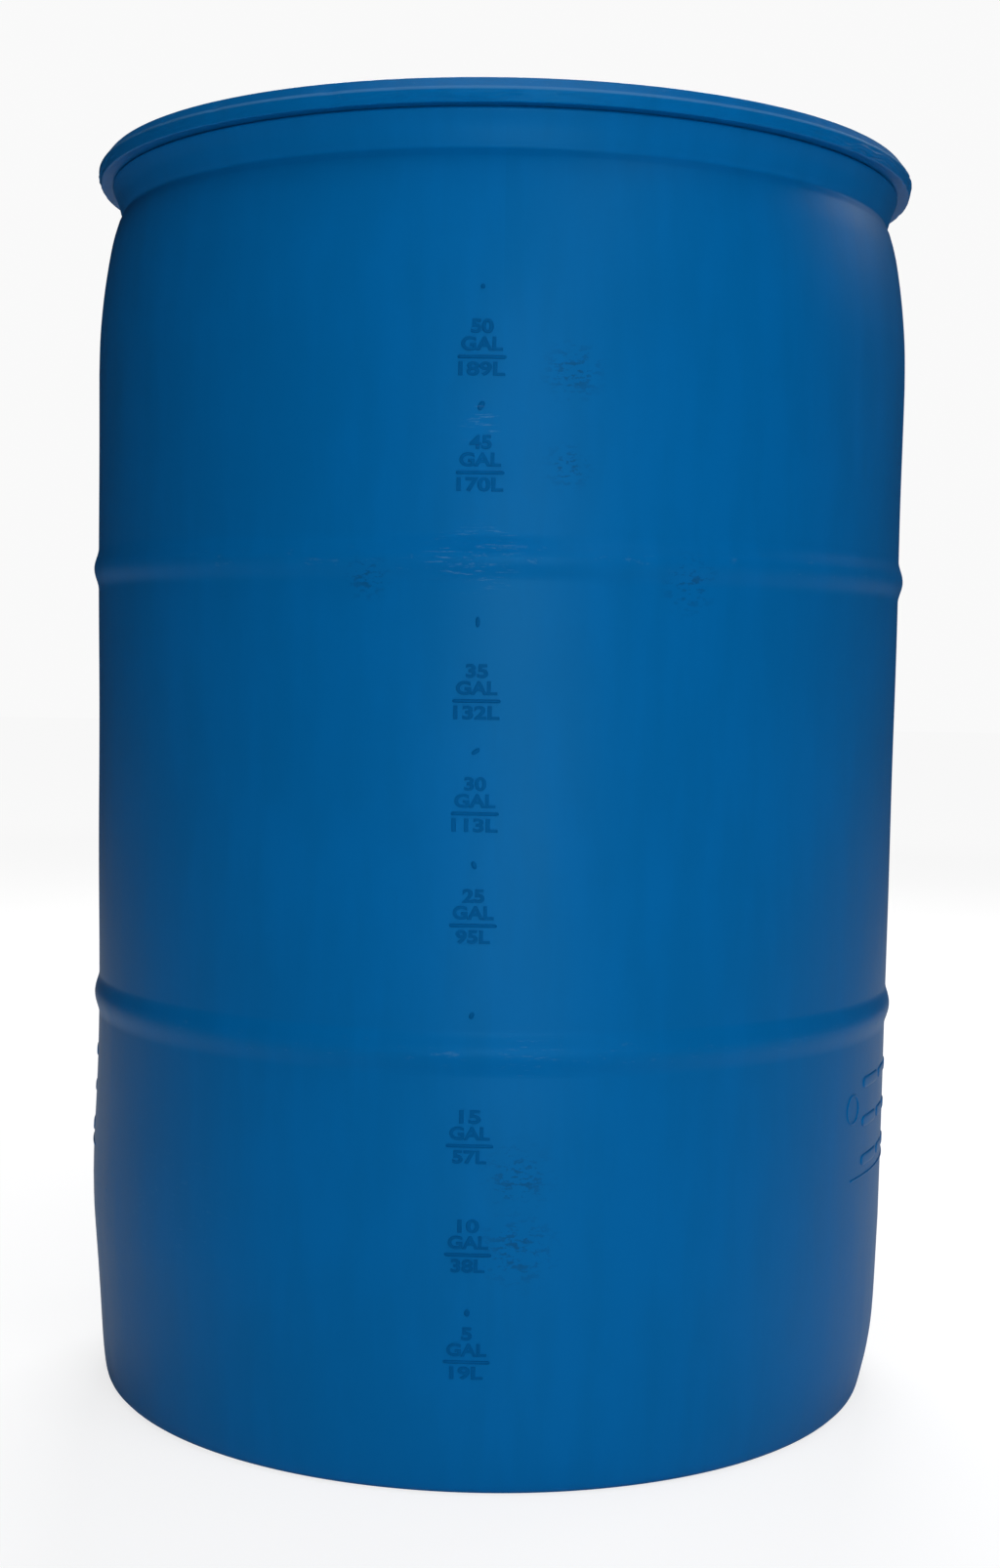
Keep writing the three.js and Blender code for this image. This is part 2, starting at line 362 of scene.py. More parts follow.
# The head lies inside the ring. It is level, steps down a little in the middle, and rises in a boss at each
# neck.
step = shell.loop(ring_of(STEP_R + 1, HEAD, moved=False))
dish = [(STEP_R - 0.6, HEAD - 0.3), (STEP_R - 3, HEAD - HEAD_DISH / 2), (STEP_R - 5.4, HEAD - 2.7),
        (STEP_R - 8, HEAD - HEAD_DISH), (STEP_R - 40, HEAD - HEAD_DISH), (STEP_R - 80, HEAD - 2.8),
        (STEP_R - 120, HEAD - 2.6)]
under = step
for r, z in dish:
    lower = shell.loop(ring_of(r, z, moved=False))
    shell.bridge(under, lower)
    under = lower
shell.fan(under, (0, 0, HEAD - 2.5))
boss_outline = rounded(
    [(51, HEAD), (49, HEAD), (45, HEAD + 2.6), (43.4, NECK_TOP), (NECK_R, NECK_TOP), (NECK_R, HEAD - WALL)],
    1.6,
    closed=False,
)
boss_feet = []
neck_feet = []
for x in BUNG_X.values():
    loops = [shell.loop(circle(r, z, x)) for r, z in boss_outline]
    for low, high in zip(loops, loops[1:]):
        shell.bridge(low, high)
    boss_feet.append(loops[0])
    neck_feet.append(loops[-1])
centre_hole = (0, 0, STEP_R + 1)
shell.sheet([rim, step, *boss_feet], [centre_hole, *((x, 0, 51) for x in BUNG_X.values())],
            (STEP_R, STEP_R + 1, EDGE_R), 11, up=True)
inner = [shell.loop(ring_of(r, z, moved=r > 285 and 130 <= z <= BODY_TOP - 2)) for r, z in inside[:-1]]
for low, high in zip(inner, inner[1:]):
    shell.bridge(low, high)
shell.fan(inner[-1], (0, 0, inside[-1][1]))
shell.sheet([inner[0], *neck_feet], [(x, 0, NECK_R) for x in BUNG_X.values()], (258,), 24, up=False)
drum_shell = shell.build("drum_shell")


def solid_colour(hex_code):
    """An sRGB colour such as "0B5F9F" as a linear RGBA value."""
    parts = [int(hex_code[k : k + 2], 16) / 255 for k in (0, 2, 4)]
    return (*((c / 12.92 if c <= 0.04045 else ((c + 0.055) / 1.055) ** 2.4) for c in parts), 1)


class Finish:
    """A node material under construction."""

    def __init__(self, name):
        self.material = bpy.data.materials.new(name)
        self.material.use_nodes = True
        self.tree = self.material.node_tree
        self.shader = self.tree.nodes["Principled BSDF"]
        self.place = self.add("ShaderNodeTexCoord").outputs["Object"]

    def add(self, kind, **settings):
        node = self.tree.nodes.new(kind)
        for name, value in settings.items():
            setattr(node, name, value)
        return node

    def feed(self, socket, value):
        if isinstance(value, bpy.types.NodeSocket):
            self.tree.links.new(value, socket)
        else:
            socket.default_value = value

    def sum(self, operation, *values, clamp=False):
        node = self.add("ShaderNodeMath", operation=operation, use_clamp=clamp)
        for socket, value in zip(node.inputs, values):
            self.feed(socket, value)
        return node.outputs[0]

    def grain(self, scale, detail=2.0, roughness=0.5, where=None, stretch=(1, 1, 1)):
        """Noise with features about 1/scale metres across."""
        mapping = self.add("ShaderNodeMapping")
        mapping.inputs["Scale"].default_value = stretch
        self.feed(mapping.inputs["Vector"], where or self.place)
        node = self.add("ShaderNodeTexNoise")
        self.feed(node.inputs["Vector"], mapping.outputs[0])
        node.inputs["Scale"].default_value = scale
        node.inputs["Detail"].default_value = detail
        node.inputs["Roughness"].default_value = roughness
        return node.outputs["Fac"]

    def ramp(self, value, low, high, to_low=0.0, to_high=1.0):
        node = self.add("ShaderNodeMapRange", interpolation_type="SMOOTHSTEP")
        for name, number in zip(("From Min", "From Max", "To Min", "To Max"), (low, high, to_low, to_high)):
            node.inputs[name].default_value = number
        self.feed(node.inputs["Value"], value)
        return node.outputs[0]

    def tint(self, amount, below, above):
        node = self.add("ShaderNodeMix", data_type="RGBA")
        self.feed(node.inputs["Factor"], amount)
        self.feed(node.inputs["A"], below)
        self.feed(node.inputs["B"], above)
        return node.outputs["Result"]

    def relief(self, height, distance, under=None):
        node = self.add("ShaderNodeBump")
        node.inputs["Strength"].default_value = 1.0
        node.inputs["Distance"].default_value = distance
        self.feed(node.inputs["Height"], height)
        if under is not None:
            self.feed(node.inputs["Normal"], under)
        return node.outputs[0]


def near(finish, spot, reach):
    """1 at a place on the drum, falling to 0 at `reach` metres from it."""
    node = finish.add("ShaderNodeVectorMath", operation="DISTANCE")
    finish.feed(node.inputs[0], finish.place)
    node.inputs[1].default_value = spot
    return finish.ramp(node.outputs["Value"], 0.0, reach, 1.0, 0.0)


def on_wall(azimuth, z, r=BODY_R):
    """A point of the drum's wall in metres, from degrees round from the front and height in millimetres."""
    a = math.radians(azimuth)
    return Vector((r * math.sin(a), -r * math.cos(a), z)) * MM


BLUE = solid_colour("005D9D")
DEEP_BLUE = solid_colour("005A97")
GRIME = solid_colour("0C3A63")
PALE_WEAR_AND_HIGHLIGHT = solid_colour("5F8DB6")
SCUFFS = ((8.5, 713, 0.026), (8.0, 655, 0.02), (3.6, 210, 0.03), (3.8, 163, 0.034), (-16, 586, 0.02),
          (24, 585, 0.026))
# Pale marks on the wall: the two beside the pip near 680 mm are scratches, the three on the hoop crowns are
# painted glints.
SCRATCHES_AND_GLINTS = ((-2.2, 686, 0.012), (-2.6, 677, 0.015), (-2.0, 599, 0.03), (5, 289, 0.024), (-6, 598, 0.02))


def polyethylene(name, full, deep, gloss):
    """Blue polyethylene as it comes from the mould, with faint streaks up the wall, fine orange peel,
    rubbed edges, dirt and pale scratches, some of which are painted glints on the hoop crowns, and a
    painted highlight along the handling ring's ridge."""
    f = Finish(name)
    split = f.add("ShaderNodeSeparateXYZ")
    f.feed(split.inputs[0], f.place)
    angle = f.sum("ARCTAN2", split.outputs["X"], split.outputs["Y"])
    around = f.add("ShaderNodeCombineXYZ")
    f.feed(around.inputs["X"], angle)
    f.feed(around.inputs["Y"], f.sum("MULTIPLY", split.outputs["Z"], 0.5))
    streaks = f.grain(16, 3, 0.55, around.outputs[0])
    clouds = f.grain(5, 3, 0.55)
    colour = f.tint(f.ramp(f.sum("ADD", streaks, clouds), 0.8, 1.25), deep, full)

    scuff = 0.0
    for azimuth, z, reach in SCUFFS:
        scuff = f.sum("MAXIMUM", scuff, near(f, on_wall(azimuth, z), reach))
    smear = f.ramp(f.grain(150, 4, 0.65, stretch=(1, 1, 2.0)), 0.5, 0.6)
    dirt = f.sum("MULTIPLY", f.sum("MULTIPLY", scuff, smear), 0.6)
    specks = f.ramp(f.grain(95, 5, 0.7), 0.71, 0.78, 0, 0.35)
    colour = f.tint(f.sum("MAXIMUM", dirt, specks), colour, GRIME)

    rubbing = f.ramp(f.grain(85, 5, 0.7, stretch=(1, 1, 3)), 0.58, 0.7)
    x_squared = f.sum("POWER", split.outputs["X"], 2.0)
    y_squared = f.sum("POWER", split.outputs["Y"], 2.0)
    radius = f.sum("SQRT", f.sum("ADD", x_squared, y_squared))
    proud = f.ramp(radius, (BODY_R + 0.6) * MM, (BODY_R + 3.4) * MM)
    high = f.ramp(split.outputs["Z"], (HEIGHT - 14) * MM, (HEIGHT - 4) * MM)
    wear = f.sum("MULTIPLY", rubbing, f.sum("MAXIMUM", proud, high), clamp=True)
    # Pale scratch marks, some of them painted glints on the hoop crowns.
    scratch = 0.0
    for azimuth, z, reach in SCRATCHES_AND_GLINTS:
        scratch = f.sum("MAXIMUM", scratch, near(f, on_wall(azimuth, z), reach))
    lines = f.ramp(f.grain(60, 5, 0.75, stretch=(1, 1, 12)), 0.57, 0.66)
    scratch = f.sum("MULTIPLY", f.sum("MULTIPLY", scratch, lines), 0.5)
    # A pale line painted along the handling ring's ridge, below its bevel: a painted highlight, not wear.
    off_ridge = f.sum("ABSOLUTE", f.sum("SUBTRACT", split.outputs["Z"], (HEIGHT - 7.6) * MM))
    painted_ridge_highlight = f.sum("MULTIPLY", f.ramp(off_ridge, 0.0004, 0.0014, 0.3, 0.0), f.ramp(radius, 0.2945, 0.296))
    # Wear and scratches lighten towards the pale blue, and so do the painted glints and the painted ridge
    # highlight.
    pale = f.sum("MAXIMUM", f.sum("MAXIMUM", f.sum("MULTIPLY", wear, 0.16), scratch), painted_ridge_highlight)
    colour = f.tint(pale, colour, PALE_WEAR_AND_HIGHLIGHT)
    f.feed(f.shader.inputs["Base Color"], colour)

    rough = f.ramp(f.sum("ADD", streaks, f.grain(9, 4, 0.6)), 0.7, 1.3, 0.42, 0.47)
    roughened = f.sum("MULTIPLY", f.sum("MAXIMUM", wear, dirt), 0.14)
    f.feed(f.shader.inputs["Roughness"], f.sum("ADD", rough, roughened))
    peel = f.relief(f.grain(210, 2, 0.45), 0.00006)
    skin = f.relief(f.grain(1100, 2, 0.5), 0.000012, peel)
    f.feed(f.shader.inputs["Normal"], f.relief(f.ramp(f.grain(420, 6, 0.7), 0.62, 0.74), 0.00003, skin))
    f.shader.inputs["IOR"].default_value = 1.5
    f.shader.inputs["Specular IOR Level"].default_value = gloss
    f.shader.inputs["Specular Tint"].default_value = (0.2, 0.72, 1, 1)
    return f.material


POLYETHYLENE = polyethylene("blue_polyethylene", BLUE, DEEP_BLUE, 0.12)


def finish_piece(piece, material, body, slot, *nodes):
    piece.data.materials.clear()
    piece.data.materials.append(material)
    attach(piece, body)
    if nodes:
        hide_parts(*nodes)


finish_piece(drum_shell, POLYETHYLENE, "drum", "body", "drum_body")

# ---------------------------------------------------------------- volume graduations
# The side carries a column of raised marks, engraved in the mould: a bar at every five gallons, with the
# gallons above it and the litres below. The bars at 20 and 40 gallons are left out, because the rolling
# hoops take their place. Small raised pips lie between the bars.
RELIEF = 0.55
COLUMN_AZIMUTH = -2.45
ONE_GALLON = 14.02
FIFTY = 720.5
LITRES = {50: 189, 45: 170, 35: 132, 30: 113, 25: 95, 15: 57, 10: 38, 5: 19}
PIPS = ((763, 2.4, 2.8, 0), (691, 3.6, 6, -0.5), (559, 2.6, 6.5, 0), (479, 6, 2.6, 0.6), (408, 3, 5, 0.4),
        (313, 3, 4.4, -0.4), (122, 3.4, 4.6, 0))


def wall_radius(azimuth, z):
    z = np.asarray(z, float)
    heights = [p[1] for p in foot] + [BODY_R * 2]
    radii = [p[0] for p in foot] + [BODY_R]
    return np.interp(z, heights, radii) + hoop_rise(z) + unevenness(azimuth, z)


def wrap(points, azimuth, z):
    """Points drawn flat, in millimetres, bent onto the wall round a place on it. Their z is their relief."""
    p = np.asarray(points, float)
    around = math.radians(azimuth) + p[:, 0] / BODY_R
    height = z + p[:, 1]
    r = wall_radius(around, height) + p[:, 2]
    return np.stack([r * np.sin(around), -r * np.cos(around), height], 1)


def lettering(words, width, height):
    """Raised words in a plain sans face, drawn flat about (0, 0)."""
    curve = bpy.data.curves.new("lettering", "FONT")
    curve.body = words
    curve.size = 10
    curve.extrude = RELIEF
    curve.offset = 0.15
    curve.bevel_depth = 0.22
    curve.bevel_resolution = 2
    holder = bpy.data.objects.new("lettering", curve)
    mesh = bpy.data.meshes.new_from_object(holder)
    p = np.array([v.co for v in mesh.vertices])
    faces = [tuple(f.vertices) for f in mesh.polygons]
    low, high = p.min(0), p.max(0)
    p = (p - (low + high) / 2) * (width / (high[0] - low[0]), height / (high[1] - low[1]), 1)
    p[:, 2] += RELIEF - high[2]
    for data, store in ((holder, bpy.data.objects), (curve, bpy.data.curves), (mesh, bpy.data.meshes)):
        store.remove(data)
    return p, faces


def pad(width, height, relief, turn=0.0, sides=24, squareness=0.35):
    """A raised pad with a soft edge and round ends, drawn flat about (0, 0)."""
    angle = np.arange(sides) * 2 * math.pi / sides
    x = np.sign(np.cos(angle)) * np.abs(np.cos(angle)) ** squareness * width / 2
    y = np.sign(np.sin(angle)) * np.abs(np.sin(angle)) ** squareness * height / 2
    inset = min(width, height) * 0.25
    points = []
    for share, level in ((0, -1.0), (0, relief * 0.45), (0.4, relief * 0.85), (1, relief)):
        narrower = 1 - 2 * inset * share / width
        shorter = 1 - 2 * inset * share / height
        points += list(zip(x * narrower, y * shorter, [level] * sides))
    points += [(0, 0, relief), (0, 0, -1.0)]
    faces = []
    for row in range(3):
        for k in range(sides):
            n = (k + 1) % sides
            a = row * sides
            faces.append((a + k, a + n, a + sides + n, a + sides + k))
    for k in range(sides):
        n = (k + 1) % sides
        faces.append((3 * sides + k, 3 * sides + n, 4 * sides))
        faces.append((n, k, 4 * sides + 1))
    p = np.array(points)
    c, t = math.cos(turn), math.sin(turn)
    flat = np.stack([c * p[:, 0] - t * p[:, 1], t * p[:, 0] + c * p[:, 1], p[:, 2]], 1)
    return flat, faces


def bar_pad(length, width, relief):
    """A raised bar drawn flat about (0, 0), in short steps so that it can follow the wall's curve."""
    section = [(-0.5, -1 / relief), (-0.5, 0.4), (-0.36, 0.86), (-0.2, 1), (0.2, 1), (0.36, 0.86), (0.5, 0.4),
               (0.5, -1 / relief)]
    inner = np.linspace(-length / 2 + width / 2, length / 2 - width / 2, max(2, round(length / 3)))
    places = [(-length / 2, 0.3, 0.3), (-length / 2 + 0.15 * width, 0.7, 0.8)]
    places += [(x, 1, 1) for x in inner]
    places += [(-x, narrow, low) for x, narrow, low in reversed(places[:2])]
    points = []
    faces = []
    count = len(section)
    for k, (x, narrow, low) in enumerate(places):
        points += [(x, y * width * narrow, h * relief * (low if h > 0 else 1)) for y, h in section]
        if k:
            a, b = (k - 1) * count, k * count
            faces += [(b + j, b + (j + 1) % count, a + (j + 1) % count, a + j) for j in range(count)]
    faces.append(tuple(range(count)))
    faces.append(tuple(reversed(range(len(points) - count, len(points)))))
    return np.array(points), [face[::-1] for face in faces]


def hoop_pad(radius, width, relief, sides=48, across=8):
    """A raised ring, drawn flat about (0, 0)."""
    points = []
    faces = []
    for k in range(sides):
        angle = 2 * math.pi * k / sides
        for j in range(across):
            roll = 2 * math.pi * j / across
            r = radius + width / 2 * math.cos(roll)
            points.append((r * math.cos(angle), r * math.sin(angle), relief * math.sin(roll)))
            k2, j2 = (k + 1) % sides, (j + 1) % across
            faces.append((k * across + j, k2 * across + j, k2 * across + j2, k * across + j2))
    return np.array(points), faces


def wrapped_piece(name, drawings):
    """One mesh from (points, faces, azimuth, height, shift right, shift up) drawings on the wall."""
    skin = Skin()
    for points, faces, azimuth, z, right_by, up_by in drawings:
        first = len(skin.points)
        skin.loop(wrap(np.asarray(points) + (right_by, up_by, 0), azimuth, z))
        skin.faces.extend(tuple(first + k for k in face) for face in faces)
    return skin.build(name)


drawings = []
for gallons, litres in LITRES.items():
    z = FIFTY - (50 - gallons) * ONE_GALLON
    for words, width, up_by in (
        (str(gallons), 6.9 * len(str(gallons)), 18.6),
        ("GAL", 25.7, 8.0),
        (f"{litres}L", 7.2 * len(f"{litres}L"), -7.2),
    ):
        drawings.append((*lettering(words, width, 8.7), COLUMN_AZIMUTH, z, 0, up_by))
    drawings.append((*bar_pad(30, 2.2, RELIEF + 0.2), COLUMN_AZIMUTH, z, 0, 0))
for z, width, height, turn in PIPS:
    drawings.append((*pad(width, height, 0.6, turn, squareness=0.9), COLUMN_AZIMUTH, z, 0, 0))
graduations = wrapped_piece("graduations", drawings)
# The marks are drawn in a darker blue than the wall, and with less gloss.
MATT_POLYETHYLENE = polyethylene("matt_polyethylene", solid_colour("00508A"), solid_colour("004B82"), 0.05)
finish_piece(graduations, MATT_POLYETHYLENE, "drum", "body")

# ---------------------------------------------------------------- moulder's marks
# Low on both sides the mould leaves a block of raised marks: a plain ring, three lines and a border. They
# are left blank, as bars.
drawings = []
MARKS_HEIGHT = 228
for azimuth in (62.5, -97.5):
    for up_by, length in ((16, 96), (-12, 88), (-40, 96)):
        for share, start in ((0.42, 0), (0.3, 0.46), (0.2, 0.8)):
            right_by = (start + share / 2) * length
            drawings.append((*bar_pad(share * length, 8, 0.8), azimuth, MARKS_HEIGHT, right_by, up_by))
    drawings.append((*bar_pad(132, 1.8, 0.7), azimuth, MARKS_HEIGHT, 46, -51))
    drawings.append((*hoop_pad(10, 2, 0.7), azimuth, MARKS_HEIGHT, -19, 0))
marks = wrapped_piece("moulders_marks", drawings)
finish_piece(marks, POLYETHYLENE, "drum", "body")

# ---------------------------------------------------------------- weld beads
# Where the mould pinched off the two ends of the molten tube, a low weld bead is left across the underside
# of the base and across the head. Both lie on the parting plane.
def bead(name, path, width, height, side):
    """A soft-edged ridge along (x, z) points on the parting plane, standing up or, at side -1, down."""
    skin = Skin()
    loops = []
    turn = np.linspace(0, 2 * math.pi, 13)[:-1]
    ends = max(abs(x) for x, _ in path)
    for x, z in path:
        taper = math.sqrt(np.clip((ends - abs(x)) / 9, 0.03, 1))
        sway = 0.5 * cross_wave(x / 60)
        y = sway + width / 2 * taper * np.cos(turn)
        lift = side * height * taper * np.sin(turn) * (1 + 0.16 * nick_wave(x / 90))
        loops.append(skin.loop(np.stack([np.full(12, x), y, z + lift], 1)))
    for low, high in zip(loops, loops[1:]):
        skin.bridge(low, high)
    skin.fan(loops[0], (path[0][0], 0, path[0][1]), flip=True)
    skin.fan(loops[-1], (path[-1][0], 0, path[-1][1]))
    if side > 0:
        skin.faces = [face[::-1] for face in skin.faces]
    return skin.build(name)


base_radii, base_levels = zip(*base)
spread = np.arange(-250, 250.1, 2.5)
under_path = [(x, float(np.interp(abs(x), base_radii, base_levels))) for x in spread]
base_bead = bead("base_weld", under_path, 5.5, 1.8, -1)
head_radii, head_levels = zip((0, HEAD - 2.5), (38, HEAD - 2.6), *reversed(dish), (STEP_R + 1, HEAD))
across = np.arange(-156, 156.1, 2.5)
head_path = [(x, float(np.interp(abs(x), head_radii, head_levels))) for x in across]
head_bead = bead("head_weld", head_path, 4.0, 0.9, 1)
for weld in (base_bead, head_bead):
    finish_piece(weld, POLYETHYLENE, "drum", "body")

# ---------------------------------------------------------------- thread fittings
# Each bung screws into a moulded insert, which the drum is blown round: a threaded sleeve in the neck, held
# by a flange under the head. The left one has a fine two-inch thread and the right one a coarse buttress.
INCH = 25.4
INSERT_LOW = HEAD - 13
INSERT_R = NECK_R - 0.3
SPARE = 0.35
THREADS = {
    "fine": dict(rows=((0, 28.3), (0.06, 28.35), (0.44, 29.6), (0.56, 29.6), (0.94, 28.35)),
                 pitch=INCH / 11.5, start=INSERT_LOW - 8),
    "coarse": dict(rows=((0, 28.6), (0.28, 28.6), (0.32, 28.9), (0.41, 30.9), (0.44, 31.2), (0.6, 31.2),
                         (0.65, 30.9), (0.96, 28.8)),
                   pitch=INCH / 5, start=INSERT_LOW - 14),
    "reducer": dict(rows=((0, 11.9), (0.06, 11.95), (0.44, 12.9), (0.56, 12.9), (0.94, 11.95)),
                    pitch=INCH / 14, start=INSERT_LOW - 4),
}


def cut_thread(skin, kind, low, high, x, female=False):
    """A screw thread between two heights, faded out at both ends. Gives its lowest and its highest loop."""
    rows, pitch, start = THREADS[kind]["rows"], THREADS[kind]["pitch"], THREADS[kind]["start"]
    radii = [r + (SPARE if female else 0) for _, r in rows]
    plain = max(radii) if female else min(radii)
    per_turn = len(rows)

    def spot(column, row):
        z = start + pitch * (row // per_turn + rows[row % per_turn][0] + column / BOSS_SIDES - 0.25)
        fade = np.clip(min(z - low, high - z) / pitch - 0.3, 0, 1)
        r = plain + (radii[row % per_turn] - plain) * fade
        turn = 2 * math.pi * column / BOSS_SIDES
        return x + r * math.sin(turn), -r * math.cos(turn), z

    lowest, highest = low + 0.12 * pitch, high - 1.12 * pitch
    steps = [row for row in range(60 * per_turn) if lowest < spot(0, row)[2] < highest]
    first, last = steps[0], steps[-1]
    grid = {(column, row): skin.loop([spot(column, row)])[0]
            for column in range(BOSS_SIDES)
            for row in range(first, last + 1 + (per_turn if column == 0 else 0))}
    foot_loop = skin.loop(circle(plain, low, x))
    head_loop = skin.loop(circle(plain, high, x))

    def at(column, row):
        return grid[(0, row + per_turn)] if column == BOSS_SIDES else grid[(column, row)]

    made = []
    for column in range(BOSS_SIDES):
        after = (column + 1) % BOSS_SIDES
        for row in range(first, last):
            made.append((at(column, row), at(column + 1, row), at(column + 1, row + 1), at(column, row + 1)))
        seam = [grid[(0, row)] for row in range(first, first + per_turn)] if after == 0 else []
        made.append((foot_loop[column], foot_loop[after], *seam, at(column + 1, first), at(column, first)))
        seam = [grid[(0, row)] for row in range(last + per_turn, last, -1)] if column == 0 else []
        made.append((at(column, last), at(column + 1, last), head_loop[after], head_loop[column], *seam))
    skin.faces.extend(face[::-1] for face in made) if female else skin.faces.extend(made)
    return foot_loop, head_loop


def turn_up(skin, outline, x, first=None, last=None):
    """Loops round a bung's axis at each (r, z) of an outline, joined to each other and to two loops given."""
    loops = [skin.loop(circle(r, z, x)) for r, z in outline]
    loops = ([first] if first else []) + loops + ([last] if last else [])
    for low, high in zip(loops, loops[1:]):
        skin.bridge(low, high)
    return loops


def insert(kind, mouth_r):
    x = BUNG_X[kind]
    skin = Skin()
    thread_low, thread_high = cut_thread(skin, kind, INSERT_LOW + 0.6, NECK_TOP - 2.2, x, female=True)
    outline = rounded(
        [(INSERT_R - 5, INSERT_LOW), (INSERT_R - 1.2, INSERT_LOW), (INSERT_R, INSERT_LOW + 2),
         (INSERT_R, HEAD - 12.4), (42, HEAD - 12), (42, HEAD - 6), (INSERT_R, HEAD - 5.6),
         (INSERT_R, NECK_TOP), (mouth_r, NECK_TOP), (mouth_r - 0.1, NECK_TOP - 0.4)],
        0.5,
        closed=False,
    )
    turn_up(skin, outline, x, first=thread_low, last=thread_high)
    return skin.build(f"{kind}_insert")


def moulded_plastic(name, colour, shade, rough):
    """Injection-moulded plastic: a fine spark-eroded grain, slight clouding, and handling scratches."""
    f = Finish(name)
    cloud = f.grain(38, 4, 0.6)
    scratch = f.ramp(f.grain(320, 3, 0.55, stretch=(1, 7, 1)), 0.66, 0.74)
    colour_mix = f.tint(f.ramp(cloud, 0.38, 0.62), shade, colour)
    pale = tuple(min(1, 0.08 + 1.35 * c) for c in colour[:3])
    f.feed(f.shader.inputs["Base Color"], f.tint(f.sum("MULTIPLY", scratch, 0.35), colour_mix, (*pale, 1)))
    f.feed(f.shader.inputs["Roughness"], f.ramp(cloud, 0.3, 0.7, rough - 0.05, rough + 0.07))
    spark = f.relief(f.grain(1500, 2, 0.5), 0.00002)
    f.feed(f.shader.inputs["Normal"], f.relief(scratch, -0.00003, spark))
    f.shader.inputs["Specular IOR Level"].default_value = 0.4
    return f.material


INSERT_PLASTIC = moulded_plastic("insert_plastic", solid_colour("124F80"), solid_colour("0F456F"), 0.42)
for kind, mouth_r in (("fine", 30.4), ("coarse", 31.8)):
    finish_piece(insert(kind, mouth_r), INSERT_PLASTIC, "drum", "fitting", f"fitting_{kind}")

# ---------------------------------------------------------------- two-inch plugs
# Both plugs are injection moulded: a threaded cup under a round flange with a bevelled rim. The fine one
# has a web with four ribs round a threaded boss; the coarse one is open, with six wrench lugs inside.
FLANGE_LOW = NECK_TOP + 1.9
FLANGE_TOP = FLANGE_LOW + 7.6
PLUG_LOW = HEAD - 7.5
SEAT = FLANGE_TOP - 2.2
PLUG_PLASTIC = moulded_plastic("plug_plastic", solid_colour("17507F"), solid_colour("134470"), 0.38)
FLANGE_RIM = [(39, FLANGE_LOW), (39, FLANGE_TOP - 2.2), (37, FLANGE_TOP)]


def bar(skin, x, angle, start, end, width, low, high):
    """An upright rib from one radius to another, with its four long edges rounded."""
    outline = rounded([(-width / 2, low), (width / 2, low), (width / 2, high), (-width / 2, high)], 0.8)
    c, s = math.cos(angle), math.sin(angle)
    ends = [skin.loop([(x + c * r - s * w, s * r + c * w, z) for w, z in outline]) for r in (start, end)]
    skin.bridge(*ends)
    for loop, flip in zip(ends, (True, False)):
        skin.faces.append(tuple(reversed(loop) if flip else loop))


def fine_plug():
    x = BUNG_X["fine"]
    skin = Skin()
    thread_low, thread_high = cut_thread(skin, "fine", PLUG_LOW + 1.4, NECK_TOP - 1.6, x)
    hole_low, hole_high = cut_thread(skin, "reducer", PLUG_LOW + 5.8, SEAT - 0.8, x, female=True)
    turn_up(skin, rounded([(13.6, PLUG_LOW + 5), (18.4, PLUG_LOW + 5), (18.4, HEAD + 4), (24.5, HEAD + 4),
                           (24.5, PLUG_LOW), (27.6, PLUG_LOW)], 0.7, closed=False), x, hole_low, thread_low)
    turn_up(skin, rounded([(28.2, FLANGE_LOW), *FLANGE_RIM, (32, FLANGE_TOP), (32, FLANGE_TOP - 4.6),
                           (18.4, FLANGE_TOP - 4.6), (18.4, SEAT), (13.8, SEAT)], 0.7, closed=False),
            x, thread_high, hole_high)
    for quarter in range(4):
        angle = math.radians(45 + 90 * quarter)
        bar(skin, x, angle, 17.8, 32.8, 4.2, FLANGE_TOP - 5, FLANGE_TOP - 0.6)
    return skin.build("fine_plug")


def coarse_plug():
    x = BUNG_X["coarse"]
    skin = Skin()
    thread_low, thread_high = cut_thread(skin, "coarse", PLUG_LOW + 1.4, NECK_TOP - 1.6, x)
    below = turn_up(skin, rounded([(10, PLUG_LOW), (20, PLUG_LOW), (28, PLUG_LOW)], 0.7, closed=False),
                    x, last=thread_low)
    skin.fan(below[0], (x, 0, PLUG_LOW), flip=True)
    floor_level = PLUG_LOW + 3.5
    above = turn_up(skin, rounded([(28.5, FLANGE_LOW), *FLANGE_RIM, (24, FLANGE_TOP), (24, floor_level),
                                   (8, floor_level)], 0.9, closed=False), x, first=thread_high)
    skin.fan(above[-1], (x, 0, floor_level))
    for lug in range(6):
        bar(skin, x, math.radians(60 * lug), 18.5, 24.6, 5, floor_level - 0.6, FLANGE_TOP - 1.5)
    return skin.build("coarse_plug")


finish_piece(fine_plug(), PLUG_PLASTIC, "fine_plug", "plug", "plug_fine")
finish_piece(coarse_plug(), PLUG_PLASTIC, "coarse_plug", "plug", "plug_coarse")

# ---------------------------------------------------------------- reducer plug
# A small black plug closes the three-quarter-inch hole in the fine plug. It is turned by a square drive.
REDUCER_LOW = SEAT + 1.3
REDUCER_TOP = REDUCER_LOW + 4.2
REDUCER_FOOT = SEAT - 13
SQUARE = 12.6
SQUARE_DEPTH = 12.8
BLACK_PLASTIC = moulded_plastic("black_plastic", solid_colour("1B1D20"), solid_colour("15171A"), 0.42)


def square_hole(x, half, z):
    """A loop round a bung's axis in the shape of a square with slightly rounded corners."""
    turn = np.arange(BOSS_SIDES) * 2 * math.pi / BOSS_SIDES
    reach = half / (np.abs(np.sin(turn)) ** 14 + np.abs(np.cos(turn)) ** 14) ** (1 / 14)
    return np.stack([x + reach * np.sin(turn), -reach * np.cos(turn), np.full(BOSS_SIDES, z)], 1)


